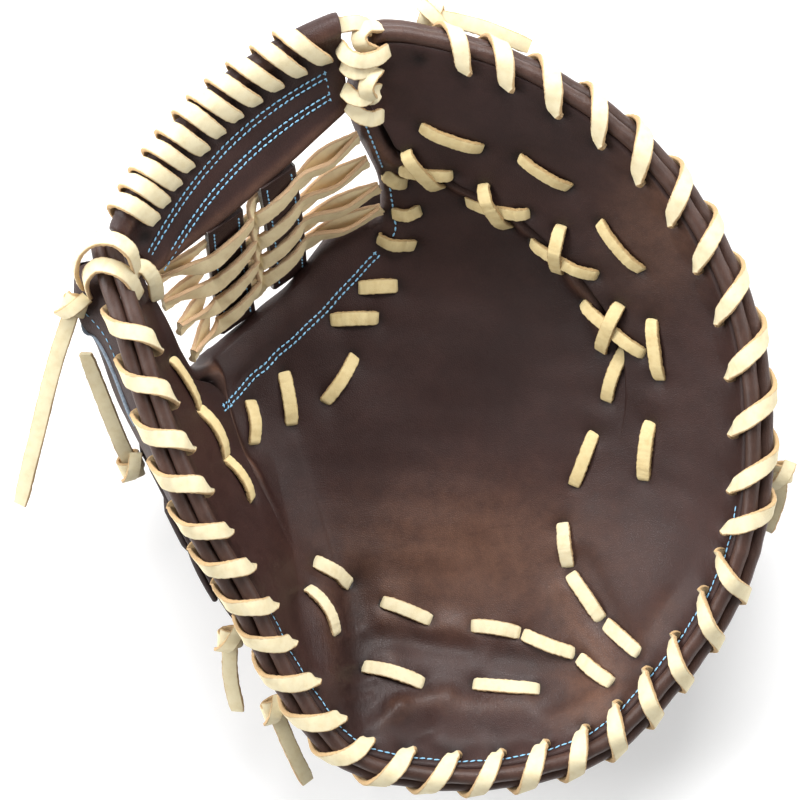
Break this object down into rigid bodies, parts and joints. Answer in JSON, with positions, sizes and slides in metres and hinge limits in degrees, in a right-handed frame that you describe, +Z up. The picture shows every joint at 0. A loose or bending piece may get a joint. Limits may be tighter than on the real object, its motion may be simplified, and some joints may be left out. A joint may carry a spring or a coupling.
{
  "type": "first base baseball mitt",
  "caption": "Worn leather first base mitt lying on its back with the deep pocket up: laced rim, dart seams, padded web bar with lace weave, wrist strap and free lace ends",
  "frame": {"origin": "On the floor under the middle of the mitt, free lace ends and all", "axes": "X from the thumb side to the finger side, Y from the heel to the finger tips, Z up out of the pocket"},
  "size_m": [0.3168, 0.3298, 0.1344],
  "materials": {
    "leather": "smooth, slightly glossy dark brown hide",
    "welt_leather": "smooth rolled hide, a shade lighter",
    "rawhide": "matt cream lace with fuzzy cut edges",
    "strap_leather": "smooth dark brown hide on felt"
  },
  "bodies": {
    "root": {"back_welt": "welt_leather", "finger_back": "leather", "finger_tie": "rawhide", "heel_lace_end_1": "rawhide", "heel_lace_end_2": "rawhide", "heel_lining": "leather", "palm": "leather", "palm_tack_1": "rawhide", "palm_tack_10": "rawhide", "palm_tack_11": "rawhide", "palm_tack_12": "rawhide", "palm_tack_13": "rawhide", "palm_tack_14": "rawhide", "palm_tack_15": "rawhide", "palm_tack_16": "rawhide", "palm_tack_17": "rawhide", "palm_tack_18": "rawhide", "palm_tack_19": "rawhide", "palm_tack_2": "rawhide", "palm_tack_20": "rawhide", "palm_tack_21": "rawhide", "palm_tack_22": "rawhide", "palm_tack_23": "rawhide", "palm_tack_24": "rawhide", "palm_tack_25": "rawhide", "palm_tack_26": "rawhide", "palm_tack_27": "rawhide", "palm_tack_28": "rawhide", "palm_tack_29": "rawhide", "palm_tack_3": "rawhide", "palm_tack_4": "rawhide", "palm_tack_5": "rawhide", "palm_tack_6": "rawhide", "palm_tack_7": "rawhide", "palm_tack_8": "rawhide", "palm_tack_9": "rawhide", "palm_welt": "welt_leather", "rim_lace_finger": "rawhide", "rim_lace_thumb": "rawhide", "seam_cross_1": "rawhide", "seam_cross_2": "rawhide", "seam_cross_3": "rawhide", "seam_cross_4": "rawhide", "side_lace_end": "rawhide", "strap_keeper": "leather", "strap_tongue": "leather", "thumb_back": "leather", "thumb_back_lace_end": "rawhide", "thumb_tie": "rawhide", "thumb_tip_lace_end": "rawhide", "top_lace_end": "rawhide", "web_bar": "leather", "web_bar_lace": "rawhide", "web_lace_1": "rawhide", "web_lace_2": "rawhide", "web_lace_3": "rawhide", "web_lace_4": "rawhide", "web_post_1": "leather", "web_post_2": "leather", "wrist_strap": "strap_leather"}
  },
  "joints": []
}
